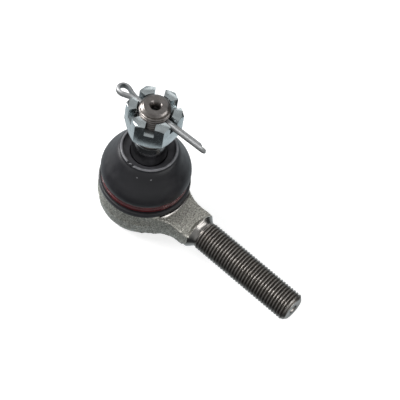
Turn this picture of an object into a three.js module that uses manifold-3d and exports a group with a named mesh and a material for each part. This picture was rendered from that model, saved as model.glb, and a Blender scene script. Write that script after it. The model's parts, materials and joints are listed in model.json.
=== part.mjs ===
// Tie rod end: the outer ball joint of a steering linkage.
//
// Millimetres. +Z runs up the stud towards the castle nut, and +X runs along
// the threaded shank. The origin is the centre of the cover plate's flat
// outer face, straight below the ball.
// Heights in the constants below are measured from the shank's axis, and the
// whole model is lifted by AXIS_HEIGHT at the end.
// The stud and its cotter pin stand turned a little about Z, because the stud
// may take any angle in its seats, and the nut a little less, by the play that
// the pin has in the nut's slots.

import * as THREE from 'three';
import { mergeVertices } from 'three/addons/utils/BufferGeometryUtils.js';
import Module from 'manifold-3d';

const wasm = await Module();
wasm.setup();

// ---------------------------------------------------------------------------
// Driving dimensions
// ---------------------------------------------------------------------------

const GAP = 0.3;                 // clearance kept between two touching pieces
const AXIS_HEIGHT = 16.0;        // shank axis above the cover's flat face
const ROUND = 48;                // facets round a large turned piece
const ROUND_MEDIUM = 36;
const ROUND_SMALL = 20;

// ball stud, M14 x 1.5 with a tapered seat
const BALL_R = 12.0;
const BALL_Z = 2.0;
const STUD_NECK_R = 7.6;
const STUD_NECK_TOP_Z = 20.0;
const TAPER_LOW_R = 8.5;
const TAPER_LOW_Z = 23.0;
const TAPER_HIGH_R = 7.35;
const STUD_THREAD_Z = 38.6;
const STUD_THREAD_R = 6.95;
const STUD_TOP_Z = 62.6;
const STUD_CHAMFER = 1.8;
const STUD_CENTRE_R = 2.4;       // mouth of the centre drilling
const STUD_CENTRE_DEPTH = 4.5;
const STUD_TURN = THREE.MathUtils.degToRad(2.5);

// castle nut, 22 mm across flats
const NUT_FLATS = 22.0;
const NUT_TURN = THREE.MathUtils.degToRad(0.3);
const NUT_LOW_Z = 46.3;
const NUT_TOP_Z = 59.9;
const NUT_BORE_R = STUD_THREAD_R + GAP;
const NUT_SLOT_W = 4.3;
const NUT_SLOT_FLOOR_Z = 54.2;
const NUT_SLOTS = 6;
const NUT_TOP_FACE_R = 11.5;
const NUT_LOW_FACE_R = 11.0;       // washer face
const NUT_TOP_BEVEL = 1.0;       // heights that the bevels take at a corner
const NUT_LOW_BEVEL = 2.2;

// cotter pin, one wire folded into an eye and two legs of unequal length
const PIN_Z = 56.8;
const PIN_R = 1.5;
const PIN_HOLE_R = 1.95;
const PIN_EYE_X = -20.9;         // far end of the eye
const PIN_EYE_BACK_X = -12.2;    // where the legs come together
const PIN_EYE_HALF_W = 3.2;
const PIN_WIRE = 1.5;            // half-round wire, seen from above
const PIN_EYE_HEIGHT = 2.6;
const PIN_LEG_BACK_X = -12.8;    // the legs start inside the eye's throat
const PIN_SHORT_X = 25.4;
const PIN_LONG_X = 28.4;

// forged housing
const EYE_TOP_Z = 4.2;           // shoulder round the boot's boss
const EYE_TOP_R = 20.0;
const EYE_PARTING_Z = -3.0;
const EYE_PARTING_R = 20.6;
const EYE_WAIST_Z = -9.0;
const EYE_WAIST_R = 19.8;
const EYE_FOOT_Z = -12.6;
const EYE_FOOT_R = 18.0;
const CRIMP_OUTER_R = 16.2;
const HOUSING_LOW_Z = -15.4;
const BOSS_R = 16.8;
const BOSS_TOP_Z = 12.2;
const BORE_R = 14.5;             // straight bore, and the radius of the seat pocket
const LIP_Z = 7.5;
const LIP_R = 11.3;              // throat above the ball
const MOUTH_R = 12.9;            // throat where the stud leaves
const CRIMP_R = 12.5;            // lip rolled in under the cover
const CRIMP_TOP_Z = -14.7;
const NECK_TOP_Z = 3.3;
const NECK_LOW_Z = -5.2;
const NECK_HALF_W = 8.4;
const NECK_END_X = 32.4;
const NECK_SWEEP_R = 17.0;       // sweep of the neck into the eye

// turned shoulder and shank, M14 x 1.5
const SHANK_ROOT_X = 27.4;
const SHANK_ROOT_R = 3.2;
const COLLAR_X = 32.6;
const COLLAR_R = 9.15;
const SHOULDER_R = 7.8;          // half way down the shoulder's hollow
const SHOULDER_X = 34.3;
const BLANK_X = 36.6;            // where the shoulder has run down to the blank
const BLANK_R = 6.5;
const THREAD_X = 37.2;
const THREAD_LEAD_IN = 0.8;
const SHANK_R = 7.0;
const TIP_X = 89.8;
const TIP_CHAMFER = 1.6;
const TIP_CENTRE_R = 2.5;
const TIP_CENTRE_DEPTH = 4.5;

// seats, spring and cover, with heights from the ball's centre for the seats
const SEAT_OUTER_R = BORE_R - GAP;
const SEAT_INNER_R = BALL_R + GAP;
const UPPER_SEAT_LOW = GAP / 2;
const UPPER_SEAT_HIGH = LIP_Z - BALL_Z - GAP;
const LOWER_SEAT_LOW = -9.2;
const PLATE_TOP_Z = BALL_Z + LOWER_SEAT_LOW - GAP;
const PLATE_T = 1.2;
const PLATE_INNER_R = 7.9;
const PLATE_OUTER_R = 13.0;
const SPRING_T = 1.1;
const SPRING_INNER_R = 8.3;
const SPRING_OUTER_R = 12.4;
const COVER_R = 14.1;
const COVER_T = 1.4;
const COVER_RIM_Z = -14.4;       // underside of the cover's rim
const COVER_FLAT_R = 8.6;
const COVER_DISH_R = 11.6;

// dust boot and its rings
const BOOT_FOOT_Z = EYE_TOP_Z + GAP;
const BOOT_FOOT_TOP_Z = 7.1;
const BOOT_FOOT_R = 20.8;
const BOOT_INNER_R = BOSS_R + GAP;
const BOOT_GROOVE_R = 18.3;
const BOOT_GROOVE_TOP_Z = 12.1;
const BOOT_BELLY_R = 20.4;
const BOOT_BELLY_Z = 13.4;
const BOOT_RIM_R = 12.75;
const BOOT_RIM_Z = 30.4;
const BOOT_LIP_LOW_Z = 23.4;
const BOOT_LIP_HIGH_Z = 27.6;
const BOOT_LIP_OUTER_R = 10.4;
const BOOT_SHELF_R = 10.6;
const BOOT_WALL = 1.8;
const CLAMP_RING_R = 20.2;
const NECK_RING_Z = 25.0;
const NECK_RING_WIRE_R = 0.6;

// ---------------------------------------------------------------------------
// Geometry helpers
// ---------------------------------------------------------------------------

// A closed three.js geometry as a manifold solid.
function solid(geometry) {
  const bare = geometry.clone();
  bare.deleteAttribute('normal');
  bare.deleteAttribute('uv');
  const merged = mergeVertices(bare, 1e-4);
  return new wasm.Manifold(new wasm.Mesh({
    numProp: 3,
    vertProperties: new Float32Array(merged.attributes.position.array),
    triVerts: new Uint32Array(merged.index.array),
  }));
}

// A manifold solid as a three.js geometry.
function geometryOf(manifold) {
  const mesh = manifold.getMesh();
  const geometry = new THREE.BufferGeometry();
  geometry.setAttribute('position', new THREE.BufferAttribute(new Float32Array(mesh.vertProperties), 3));
  geometry.setIndex(new THREE.BufferAttribute(new Uint32Array(mesh.triVerts), 1));
  return geometry;
}

// A turned solid about Z from [radius, z] points.
function turned(points, facets = ROUND) {
  const profile = points.map(([r, z]) => new THREE.Vector2(r, z));
  const geometry = new THREE.LatheGeometry(profile, facets);
  geometry.rotateX(Math.PI / 2);
  return geometry;
}

// The same about X, from [radius, x] points.
function turnedAlongX(points, facets = ROUND_MEDIUM) {
  const geometry = turned(points, facets);
  geometry.rotateY(Math.PI / 2);
  return geometry;
}

// Points on an arc of a circle in the [radius, z] half plane.
function arc(centreR, centreZ, radius, fromDeg, toDeg, steps) {
  const points = [];
  for (let i = 0; i <= steps; i += 1) {
    const a = THREE.MathUtils.degToRad(fromDeg + ((toDeg - fromDeg) * i) / steps);
    points.push([centreR + radius * Math.cos(a), centreZ + radius * Math.sin(a)]);
  }
  return points;
}

// An upright prism of a plan outline between two heights.
function prism(outline, lowZ, highZ) {
  const geometry = new THREE.ExtrudeGeometry(outline, {
    depth: highZ - lowZ,
    bevelEnabled: false,
    curveSegments: 8,
  });
  geometry.translate(0, 0, lowZ);
  return geometry;
}

function box(sizeX, sizeY, sizeZ, x, y, z) {
  const geometry = new THREE.BoxGeometry(sizeX, sizeY, sizeZ);
  geometry.translate(x, y, z);
  return geometry;
}

const degrees = THREE.MathUtils.radToDeg;

// ---------------------------------------------------------------------------
// Housing: eye, neck, turned shoulder and shank in one forging
// ---------------------------------------------------------------------------

// Plan of the neck, swept into the eye by an arc on each side.
function neckOutline() {
  const sweepY = NECK_HALF_W + NECK_SWEEP_R;
  const reach = EYE_TOP_R + NECK_SWEEP_R;
  const sweepX = Math.sqrt(reach * reach - sweepY * sweepY);
  const touch = Math.atan2(sweepY, sweepX);
  const shape = new THREE.Shape();
  shape.moveTo(0, 0);
  shape.lineTo(EYE_TOP_R * Math.cos(touch), -EYE_TOP_R * Math.sin(touch));
  shape.absarc(sweepX, -sweepY, NECK_SWEEP_R, Math.PI - touch, Math.PI / 2, true);
  shape.lineTo(NECK_END_X, -NECK_HALF_W);
  shape.lineTo(NECK_END_X, NECK_HALF_W);
  shape.absarc(sweepX, sweepY, NECK_SWEEP_R, -Math.PI / 2, -Math.PI + touch, true);
  return shape;
}

function eyeGeometry() {
  return turned([
    [0, HOUSING_LOW_Z],
    [CRIMP_OUTER_R, HOUSING_LOW_Z],
    [EYE_FOOT_R, EYE_FOOT_Z],
    [EYE_WAIST_R, EYE_WAIST_Z],
    [EYE_PARTING_R, EYE_PARTING_Z],
    [EYE_TOP_R, EYE_TOP_Z],
    [BOSS_R, EYE_TOP_Z],
    [BOSS_R, BOSS_TOP_Z],
    [0, BOSS_TOP_Z],
  ]);
}

function shankGeometry() {
  return turnedAlongX([
    [0, SHANK_ROOT_X],
    [SHANK_ROOT_R, SHANK_ROOT_X],
    [COLLAR_R, COLLAR_X],
    [SHOULDER_R, SHOULDER_X],
    [BLANK_R, BLANK_X],
    [BLANK_R, THREAD_X],
    [SHANK_R, THREAD_X + THREAD_LEAD_IN],
    [SHANK_R, TIP_X - TIP_CHAMFER],
    [SHANK_R - TIP_CHAMFER, TIP_X],
    [TIP_CENTRE_R, TIP_X],
    [0, TIP_X - TIP_CENTRE_DEPTH],
  ], ROUND_MEDIUM);
}

// Stepped pocket from below: crimp lip, cover's rim, straight bore, the
// spherical top that holds the upper seat, and the throat round the stud.
function pocketGeometry() {
  const lipAngle = degrees(Math.asin((LIP_Z - BALL_Z) / BORE_R));
  const beyond = 1;
  return turned([
    [0, HOUSING_LOW_Z - beyond],
    [CRIMP_R, HOUSING_LOW_Z - beyond],
    [CRIMP_R, CRIMP_TOP_Z],
    [BORE_R, CRIMP_TOP_Z],
    ...arc(0, BALL_Z, BORE_R, 0, lipAngle, 5),
    [LIP_R, LIP_Z],
    [MOUTH_R, BOSS_TOP_Z],
    [MOUTH_R, BOSS_TOP_Z + beyond],
    [0, BOSS_TOP_Z + beyond],
  ]);
}

function housingGeometry() {
  const neck = prism(neckOutline(), NECK_LOW_Z, NECK_TOP_Z);
  const forging = solid(eyeGeometry()).add(solid(neck)).add(solid(shankGeometry()));
  return geometryOf(forging.subtract(solid(pocketGeometry())));
}

// ---------------------------------------------------------------------------
// Ball stud
// ---------------------------------------------------------------------------

function studGeometry() {
  const neckAngle = degrees(Math.acos(STUD_NECK_R / BALL_R));
  const blank = turned([
    ...arc(0, BALL_Z, BALL_R, -90, neckAngle, 16),
    [STUD_NECK_R, STUD_NECK_TOP_Z],
    [TAPER_LOW_R, TAPER_LOW_Z],
    [TAPER_HIGH_R, STUD_THREAD_Z],
    [STUD_THREAD_R, STUD_THREAD_Z + STUD_THREAD_R - BLANK_R],
    [STUD_THREAD_R, STUD_TOP_Z - STUD_CHAMFER],
    [STUD_THREAD_R - STUD_CHAMFER, STUD_TOP_Z],
    [STUD_CENTRE_R, STUD_TOP_Z],
    [0, STUD_TOP_Z - STUD_CENTRE_DEPTH],
  ], ROUND_MEDIUM);
  const crossHole = turnedAlongX([
    [0, -STUD_THREAD_R - 1],
    [PIN_HOLE_R, -STUD_THREAD_R - 1],
    [PIN_HOLE_R, STUD_THREAD_R + 1],
    [0, STUD_THREAD_R + 1],
  ], ROUND_SMALL);
  crossHole.translate(0, 0, PIN_Z);
  return geometryOf(solid(blank).subtract(solid(crossHole)));
}

// ---------------------------------------------------------------------------
// Seats, spring and cover
// ---------------------------------------------------------------------------

// A plastic shell round the ball, between two heights from the ball's centre.
function seatGeometry(low, high) {
  const angleAt = (height, radius) => degrees(Math.asin(height / radius));
  const outer = arc(0, BALL_Z, SEAT_OUTER_R, angleAt(low, SEAT_OUTER_R), angleAt(high, SEAT_OUTER_R), 7);
  const inner = arc(0, BALL_Z, SEAT_INNER_R, angleAt(high, SEAT_INNER_R), angleAt(low, SEAT_INNER_R), 7);
  return turned([...outer, ...inner, outer[0]], ROUND_MEDIUM);
}

function pressurePlateGeometry() {
  return turned([
    [PLATE_INNER_R, PLATE_TOP_Z - PLATE_T],
    [PLATE_OUTER_R, PLATE_TOP_Z - PLATE_T],
    [PLATE_OUTER_R, PLATE_TOP_Z],
    [PLATE_INNER_R, PLATE_TOP_Z],
    [PLATE_INNER_R, PLATE_TOP_Z - PLATE_T],
  ], ROUND_MEDIUM);
}

// A disc spring: its inner edge bears on the pressure plate and its outer
// edge on the cover.
function discSpringGeometry() {
  const innerTopZ = PLATE_TOP_Z - PLATE_T - GAP;
  const outerLowZ = COVER_RIM_Z + COVER_T + GAP;
  return turned([
    [SPRING_OUTER_R, outerLowZ],
    [SPRING_OUTER_R, outerLowZ + SPRING_T],
    [SPRING_INNER_R, innerTopZ],
    [SPRING_INNER_R, innerTopZ - SPRING_T],
    [SPRING_OUTER_R, outerLowZ],
  ], ROUND_MEDIUM);
}

// A pressed cover, dished outwards to the flat face at the origin.
function coverGeometry() {
  return turned([
    [0, -AXIS_HEIGHT],
    [COVER_FLAT_R, -AXIS_HEIGHT],
    [COVER_DISH_R, COVER_RIM_Z],
    [COVER_R, COVER_RIM_Z],
    [COVER_R, COVER_RIM_Z + COVER_T],
    [COVER_DISH_R - COVER_T, COVER_RIM_Z + COVER_T],
    [COVER_FLAT_R - COVER_T / 2, COVER_T - AXIS_HEIGHT],
    [0, COVER_T - AXIS_HEIGHT],
  ], ROUND_MEDIUM);
}

// ---------------------------------------------------------------------------
// Dust boot and its rings
// ---------------------------------------------------------------------------

function taperRadius(z) {
  const part = (z - TAPER_LOW_Z) / (STUD_THREAD_Z - TAPER_LOW_Z);
  return TAPER_LOW_R + (TAPER_HIGH_R - TAPER_LOW_R) * part;
}

// The boot's outer wall from its belly to the rim, as one smooth curve.
function bootWall(inset, steps) {
  const curve = new THREE.SplineCurve([
    new THREE.Vector2(BOOT_BELLY_R, BOOT_BELLY_Z),
    new THREE.Vector2(BOOT_BELLY_R - 0.4, BOOT_BELLY_Z + 3.2),
    new THREE.Vector2(BOOT_BELLY_R - 2.3, BOOT_BELLY_Z + 6.6),
    new THREE.Vector2(BOOT_BELLY_R - 5.0, BOOT_BELLY_Z + 11.2),
    new THREE.Vector2(BOOT_RIM_R + 0.35, BOOT_RIM_Z - 1.2),
  ]);
  const points = [];
  for (let i = 0; i <= steps; i += 1) {
    const at = curve.getPoint(i / steps);
    const along = curve.getTangent(i / steps);
    points.push([at.x - along.y * inset, at.y + along.x * inset]);
  }
  return points;
}

function bootGeometry() {
  const lipClear = (z) => taperRadius(z) + GAP;
  return turned([
    [BOOT_INNER_R, BOOT_FOOT_Z],
    [BOOT_FOOT_R, BOOT_FOOT_Z],
    [BOOT_FOOT_R, BOOT_FOOT_TOP_Z],
    [BOOT_GROOVE_R, BOOT_FOOT_TOP_Z],
    [BOOT_GROOVE_R, BOOT_GROOVE_TOP_Z],
    [BOOT_BELLY_R - 0.5, BOOT_GROOVE_TOP_Z],
    ...bootWall(0, 8),
    [BOOT_RIM_R - 0.55, BOOT_RIM_Z],
    [BOOT_RIM_R - 1.2, BOOT_RIM_Z - 0.4],
    [BOOT_SHELF_R, BOOT_LIP_HIGH_Z + 0.7],
    [lipClear(BOOT_LIP_HIGH_Z), BOOT_LIP_HIGH_Z],
    [lipClear(BOOT_LIP_LOW_Z), BOOT_LIP_LOW_Z],
    [BOOT_LIP_OUTER_R, BOOT_LIP_LOW_Z],
    [BOOT_LIP_OUTER_R, BOOT_LIP_HIGH_Z - 0.8],
    ...bootWall(BOOT_WALL, 6).reverse().slice(1),
    [BOOT_INNER_R, BOSS_TOP_Z],
    [BOOT_INNER_R, BOOT_FOOT_Z],
  ]);
}

// The painted band that clamps the boot's foot into its groove.
function clampRingGeometry() {
  const low = BOOT_FOOT_TOP_Z + GAP;
  const high = BOOT_GROOVE_TOP_Z - GAP;
  const innerR = BOOT_GROOVE_R + GAP;
  const round = 0.6;
  return turned([
    [innerR, low],
    [CLAMP_RING_R - round, low],
    [CLAMP_RING_R, low + round],
    [CLAMP_RING_R, high - round],
    [CLAMP_RING_R - round, high],
    [innerR, high],
    [innerR, low],
  ]);
}

// The wire ring that grips the boot's upper lip on the stud.
function neckRingGeometry() {
  const centreR = BOOT_LIP_OUTER_R + GAP + NECK_RING_WIRE_R;
  return turned(arc(centreR, NECK_RING_Z, NECK_RING_WIRE_R, 0, 360, 6), ROUND_MEDIUM);
}

// ---------------------------------------------------------------------------
// Castle nut and cotter pin
// ---------------------------------------------------------------------------

function hexagon(acrossFlats) {
  const cornerR = acrossFlats / Math.sqrt(3);
  const shape = new THREE.Shape();
  for (let i = 0; i < 6; i += 1) {
    const a = ((i + 0.5) * Math.PI) / 3;
    if (i === 0) shape.moveTo(cornerR * Math.cos(a), cornerR * Math.sin(a));
    else shape.lineTo(cornerR * Math.cos(a), cornerR * Math.sin(a));
  }
  return shape;
}

function nutGeometry() {
  const cornerR = NUT_FLATS / Math.sqrt(3);
  const bevelled = turned([
    [0, NUT_LOW_Z],
    [NUT_LOW_FACE_R, NUT_LOW_Z],
    [cornerR + 0.1, NUT_LOW_Z + NUT_LOW_BEVEL],
    [cornerR + 0.1, NUT_TOP_Z - NUT_TOP_BEVEL],
    [NUT_TOP_FACE_R, NUT_TOP_Z],
    [0, NUT_TOP_Z],
  ]);
  const bore = turned([
    [0, NUT_LOW_Z - 1],
    [NUT_BORE_R + 1, NUT_LOW_Z - 1],
    [NUT_BORE_R, NUT_LOW_Z + 0.8],
    [NUT_BORE_R, NUT_TOP_Z - 0.5],
    [NUT_BORE_R + 1, NUT_TOP_Z + 0.5],
    [0, NUT_TOP_Z + 0.5],
  ], ROUND_MEDIUM);
  let nut = solid(prism(hexagon(NUT_FLATS), NUT_LOW_Z, NUT_TOP_Z));
  nut = nut.intersect(solid(bevelled)).subtract(solid(bore));
  const slotHeight = NUT_TOP_Z - NUT_SLOT_FLOOR_Z + 1;
  for (let i = 0; i < NUT_SLOTS / 2; i += 1) {
    const slot = box(3 * NUT_FLATS, NUT_SLOT_W, slotHeight, 0, 0, NUT_SLOT_FLOOR_Z + slotHeight / 2);
    slot.rotateZ((i * 2 * Math.PI) / NUT_SLOTS);
    nut = nut.subtract(solid(slot));
  }
  return geometryOf(nut);
}

// Flat outline of the pin's eye: a loop of wire that narrows to the legs.
function eyeOutline(halfWidth, farX, backX, backHalfWidth) {
  const shape = new THREE.Shape();
  const roundX = farX + halfWidth;
  shape.moveTo(backX, -backHalfWidth);
  shape.lineTo(backX, backHalfWidth);
  shape.lineTo(roundX + halfWidth * 0.6, halfWidth);
  shape.lineTo(roundX, halfWidth);
  shape.absarc(roundX, 0, halfWidth, Math.PI / 2, (3 * Math.PI) / 2, false);
  shape.lineTo(roundX + halfWidth * 0.6, -halfWidth);
  return shape;
}

// The pin lies along X about its own axis at Z = 0.
function pinGeometry() {
  const outline = eyeOutline(PIN_EYE_HALF_W, PIN_EYE_X, PIN_EYE_BACK_X, PIN_R * 0.9);
  outline.holes.push(eyeOutline(
    PIN_EYE_HALF_W - PIN_WIRE,
    PIN_EYE_X + PIN_WIRE,
    PIN_EYE_BACK_X - PIN_WIRE,
    0.2,
  ));
  const eye = prism(outline, -PIN_EYE_HEIGHT / 2, PIN_EYE_HEIGHT / 2);
  const legs = turnedAlongX([
    [0, PIN_LEG_BACK_X],
    [PIN_R, PIN_LEG_BACK_X],
    [PIN_R, PIN_LONG_X],
    [0, PIN_LONG_X],
  ], ROUND_SMALL);
  const cutLength = PIN_LONG_X - PIN_SHORT_X + 1;
  const step = box(cutLength, PIN_R, 4 * PIN_R, PIN_SHORT_X + cutLength / 2, PIN_R / 2 + 0.05, 0);
  return geometryOf(solid(legs).subtract(solid(step)).add(solid(eye)));
}

// ---------------------------------------------------------------------------
// Finishes
// ---------------------------------------------------------------------------

function finish(color, roughness, metalness) {
  return new THREE.MeshStandardMaterial({ color, roughness, metalness });
}

const FINISHES = {
  forging: finish(0x8b8780, 0.55, 0.8),
  stud: finish(0x6b6460, 0.35, 0.9),
  zinc: finish(0xa7adb2, 0.35, 0.9),
  spring: finish(0x5a5f66, 0.4, 0.9),
  cover: finish(0x9a9a96, 0.45, 0.85),
  rubber: finish(0x2a2a2d, 0.6, 0.0),
  redBand: finish(0x4a1518, 0.35, 0.2),
  acetal: finish(0xd8d4c6, 0.5, 0.0),
};

// ---------------------------------------------------------------------------
// Assembly
// ---------------------------------------------------------------------------

function piece(name, geometry, material) {
  const mesh = new THREE.Mesh(geometry, material);
  mesh.name = name;
  return mesh;
}

const assembly = new THREE.Group();
assembly.position.z = AXIS_HEIGHT;

assembly.add(
  piece('housing', housingGeometry(), FINISHES.forging),
  piece('upper_ball_seat', seatGeometry(UPPER_SEAT_LOW, UPPER_SEAT_HIGH), FINISHES.acetal),
  piece('lower_ball_seat', seatGeometry(LOWER_SEAT_LOW, -UPPER_SEAT_LOW), FINISHES.acetal),
  piece('pressure_plate', pressurePlateGeometry(), FINISHES.cover),
  piece('preload_disc_spring', discSpringGeometry(), FINISHES.spring),
  piece('cover_plate', coverGeometry(), FINISHES.cover),
  piece('dust_boot', bootGeometry(), FINISHES.rubber),
  piece('boot_clamp_ring', clampRingGeometry(), FINISHES.redBand),
  piece('boot_neck_ring', neckRingGeometry(), FINISHES.spring),
);

const castleNut = piece('castle_nut', nutGeometry(), FINISHES.zinc);
castleNut.rotation.z = NUT_TURN;
assembly.add(castleNut);

const studGroup = new THREE.Group();
studGroup.rotation.z = STUD_TURN;
studGroup.add(piece('ball_stud', studGeometry(), FINISHES.stud));

const cotterPin = piece('cotter_pin', pinGeometry(), FINISHES.zinc);
cotterPin.position.z = PIN_Z;
studGroup.add(cotterPin);
assembly.add(studGroup);

const tieRodEnd = new THREE.Group();
tieRodEnd.name = 'tie_rod_end';
tieRodEnd.add(assembly);

export default tieRodEnd;
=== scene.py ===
"""Tie rod end: the looks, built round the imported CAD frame.

Shapes are made in millimetres, with heights from the shank's axis, and are
put into the row frame in metres by place(). The stud, nut and cotter pin are
made along the X axis and turned with the stud.
"""

import json
import math

import bmesh
import bpy
import numpy as np
from mathutils import Matrix, Vector, noise


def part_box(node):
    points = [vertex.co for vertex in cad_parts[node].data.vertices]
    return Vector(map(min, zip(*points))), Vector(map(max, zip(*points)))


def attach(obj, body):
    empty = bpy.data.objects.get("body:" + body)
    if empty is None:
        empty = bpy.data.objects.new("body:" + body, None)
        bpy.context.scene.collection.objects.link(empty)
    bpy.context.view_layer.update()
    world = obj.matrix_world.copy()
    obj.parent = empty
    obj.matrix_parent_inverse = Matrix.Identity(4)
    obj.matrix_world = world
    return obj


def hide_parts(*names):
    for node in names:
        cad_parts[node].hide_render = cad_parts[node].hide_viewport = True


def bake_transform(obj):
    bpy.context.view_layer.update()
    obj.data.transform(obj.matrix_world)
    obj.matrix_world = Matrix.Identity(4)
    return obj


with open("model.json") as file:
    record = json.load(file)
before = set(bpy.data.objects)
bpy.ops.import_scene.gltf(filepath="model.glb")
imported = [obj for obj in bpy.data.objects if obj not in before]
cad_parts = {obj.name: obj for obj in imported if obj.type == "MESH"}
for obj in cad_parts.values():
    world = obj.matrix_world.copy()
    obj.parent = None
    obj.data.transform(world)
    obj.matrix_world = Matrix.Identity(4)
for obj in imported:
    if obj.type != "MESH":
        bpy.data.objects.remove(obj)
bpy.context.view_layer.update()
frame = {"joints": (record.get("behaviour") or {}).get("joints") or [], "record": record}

# ---------------------------------------------------------------------------
# Driving dimensions, in millimetres
# ---------------------------------------------------------------------------

MM = 0.001
MOUNTS = {m["name"]: m for m in frame["record"]["mounts"]}
JOINTS = {j["name"]: j for j in frame["joints"]}
AXIS_Z = MOUNTS["shank_tip_face"]["pos_m"][2] / MM      # shank's axis above the base face


def cad_box(node):
    """Lowest and highest corner of a CAD node in millimetres, with heights from the shank's axis."""
    low, high = (np.array(corner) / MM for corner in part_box(node))
    return low - (0, 0, AXIS_Z), high - (0, 0, AXIS_Z)


def ring_of(node):
    """Outer radius, lowest and highest point of a CAD node turned about Z."""
    low, high = cad_box(node)
    return high[0], low[2], high[2]


BALL_Z = JOINTS["stud_swing"]["pos_m"][2] / MM - AXIS_Z
PULL = JOINTS["cotter_pin_pull"]["axis"]
STUD_TURN = math.atan2(-PULL[1], -PULL[0])

HOUSING_LOW_Z = cad_box("housing")[0][2]
TIP_X = cad_box("housing")[1][0]
BOSS_TOP_Z = cad_box("housing")[1][2]
STUD_TOP_Z = cad_box("ball_stud")[1][2]
BALL_R = BALL_Z - cad_box("ball_stud")[0][2]

PITCH = 1.5                  # M14 x 1.5, both threads
THREAD_DEPTH = 0.86
SHANK_R = 7.0
BLANK_R = 6.5
STUD_R = 6.95

EYE_R = 20.0                 # the eye where the neck's sweep meets it
EYE_TOP_Z = 4.2
PARTING_Z = -2.6
BOSS_R = 16.8
BORE_R = 14.5
NECK_HALF_W = 8.4
NECK_SWEEP_R = 17.0
NECK_END_X = 32.4
COLLAR_R = 9.15
COLLAR_X = 32.7
THREAD_X = 37.2              # where the shank's thread starts
TAPER_LOW_Z = 23.0
TAPER_LOW_R = 8.5
TAPER_TOP_Z = 38.6
TAPER_TOP_R = 7.35

NUT_FLATS = 22.0
NUT_TURN = math.radians(0.3)
PIN_Z = 56.8
PIN_R = 1.52
PIN_HOLE_R = 1.95
SEAM_Z = 15.5                # moulding seam round the boot
RIM_Z = 30.25                # the boot's rim is lighter above this height: wear and a painted highlight

# ---------------------------------------------------------------------------
# Outlines
# ---------------------------------------------------------------------------


def rounded(corners, closed=False, steps=6):
    """Outline through corners given as (x, y, fillet radius), each corner turned into an arc."""
    outline = []
    count = len(corners)
    for i, (x, y, radius) in enumerate(corners):
        at = np.array((x, y), float)
        if radius == 0 or (not closed and i in (0, count - 1)):
            outline.append(at)
            continue
        back = np.array(corners[i - 1][:2], float) - at
        ahead = np.array(corners[(i + 1) % count][:2], float) - at
        back_length, ahead_length = np.linalg.norm(back), np.linalg.norm(ahead)
        back, ahead = back / back_length, ahead / ahead_length
        half = math.acos(np.clip(back @ ahead, -1, 1)) / 2
        reach = min(radius / math.tan(half), 0.48 * back_length, 0.48 * ahead_length)
        radius = reach * math.tan(half)
        middle = (back + ahead) / np.linalg.norm(back + ahead)
        centre = at + middle * radius / math.sin(half)
        start, end = at + back * reach - centre, at + ahead * reach - centre
        turn = math.atan2(start[0] * end[1] - start[1] * end[0], start @ end)
        for k in range(steps + 1):
            a = turn * k / steps
            spin = np.array(((math.cos(a), -math.sin(a)), (math.sin(a), math.cos(a))))
            outline.append(centre + spin @ start)
    return np.array(outline)


def smooth_line(points, per_span=8):
    """A Catmull-Rom curve through the points."""
    p = np.array([points[0], *points, points[-1]], float)
    line = []
    for i in range(1, len(p) - 2):
        for k in range(per_span):
            t = k / per_span
            line.append(0.5 * (2 * p[i] + (p[i + 1] - p[i - 1]) * t
                               + (2 * p[i - 1] - 5 * p[i] + 4 * p[i + 1] - p[i + 2]) * t ** 2
                               + (3 * p[i] - p[i - 1] - 3 * p[i + 1] + p[i + 2]) * t ** 3))
    line.append(p[-2])
    return np.array(line)


def arc(centre, radius, from_deg, to_deg, steps):
    """Points on an arc about centre, in the (radius, height) plane."""
    a = np.radians(np.linspace(from_deg, to_deg, steps + 1))
    return np.stack((centre[0] + radius * np.cos(a), centre[1] + radius * np.sin(a)), 1)


def outline_of(*stretches):
    """One outline from several stretches of points."""
    return np.concatenate([np.atleast_2d(np.array(s, float)) for s in stretches])


# ---------------------------------------------------------------------------
# Meshes
# ---------------------------------------------------------------------------

def mesh_object(name, vertices, faces):
    """A linked object, with its faces pointing out."""
    mesh = bpy.data.meshes.new(name)
    mesh.from_pydata(np.asarray(vertices, float).tolist(), [], faces)
    shape = bmesh.new()
    shape.from_mesh(mesh)
    bmesh.ops.recalc_face_normals(shape, faces=shape.faces)
    shape.to_mesh(mesh)
    shape.free()
    obj = bpy.data.objects.new(name, mesh)
    bpy.context.scene.collection.objects.link(obj)
    return obj


def skin(name, rings, ends):
    """Quads over rings of points. ends is "loop", "poles" (each end closed by a fan) or "flat"."""
    rings = np.asarray(rings, float)
    count, facets = rings.shape[:2]
    vertices = rings.reshape(-1, 3).tolist()
    faces = []
    for i in range(count if ends == "loop" else count - 1):
        for j in range(facets):
            k, n = (j + 1) % facets, (i + 1) % count
            faces.append((i * facets + j, i * facets + k, n * facets + k, n * facets + j))
    if ends == "poles":
        for ring, turn in ((0, 1), (count - 1, -1)):
            vertices.append(rings[ring].mean(0).tolist())
            for j in range(facets):
                edge = (ring * facets + j, ring * facets + (j + 1) % facets)
                faces.append((len(vertices) - 1, *edge[::turn]))
    if ends == "flat":
        faces.append(tuple(range(facets)))
        faces.append(tuple((count - 1) * facets + j for j in range(facets)))
    return mesh_object(name, vertices, faces)


def turned(name, profile, facets=144, ends="poles", radius=None):
    """A solid of revolution about Z. radius(radii, heights, angles) may vary the radius round it."""
    profile = np.asarray(profile, float)
    pole_low, pole_high = profile[0], profile[-1]
    if ends == "poles":
        profile = profile[1:-1]
    angles = np.arange(facets) * 2 * np.pi / facets
    radii = np.repeat(profile[:, :1], facets, 1)
    heights = np.repeat(profile[:, 1:], facets, 1)
    if radius:
        radii = radius(radii, heights, angles[None, :])
    rings = np.stack((radii * np.cos(angles), radii * np.sin(angles), heights), 2)
    obj = skin(name, rings, ends)
    if ends == "poles":
        last = len(obj.data.vertices)
        obj.data.vertices[last - 2].co = (0, 0, pole_low[1])
        obj.data.vertices[last - 1].co = (0, 0, pole_high[1])
    return obj


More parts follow.
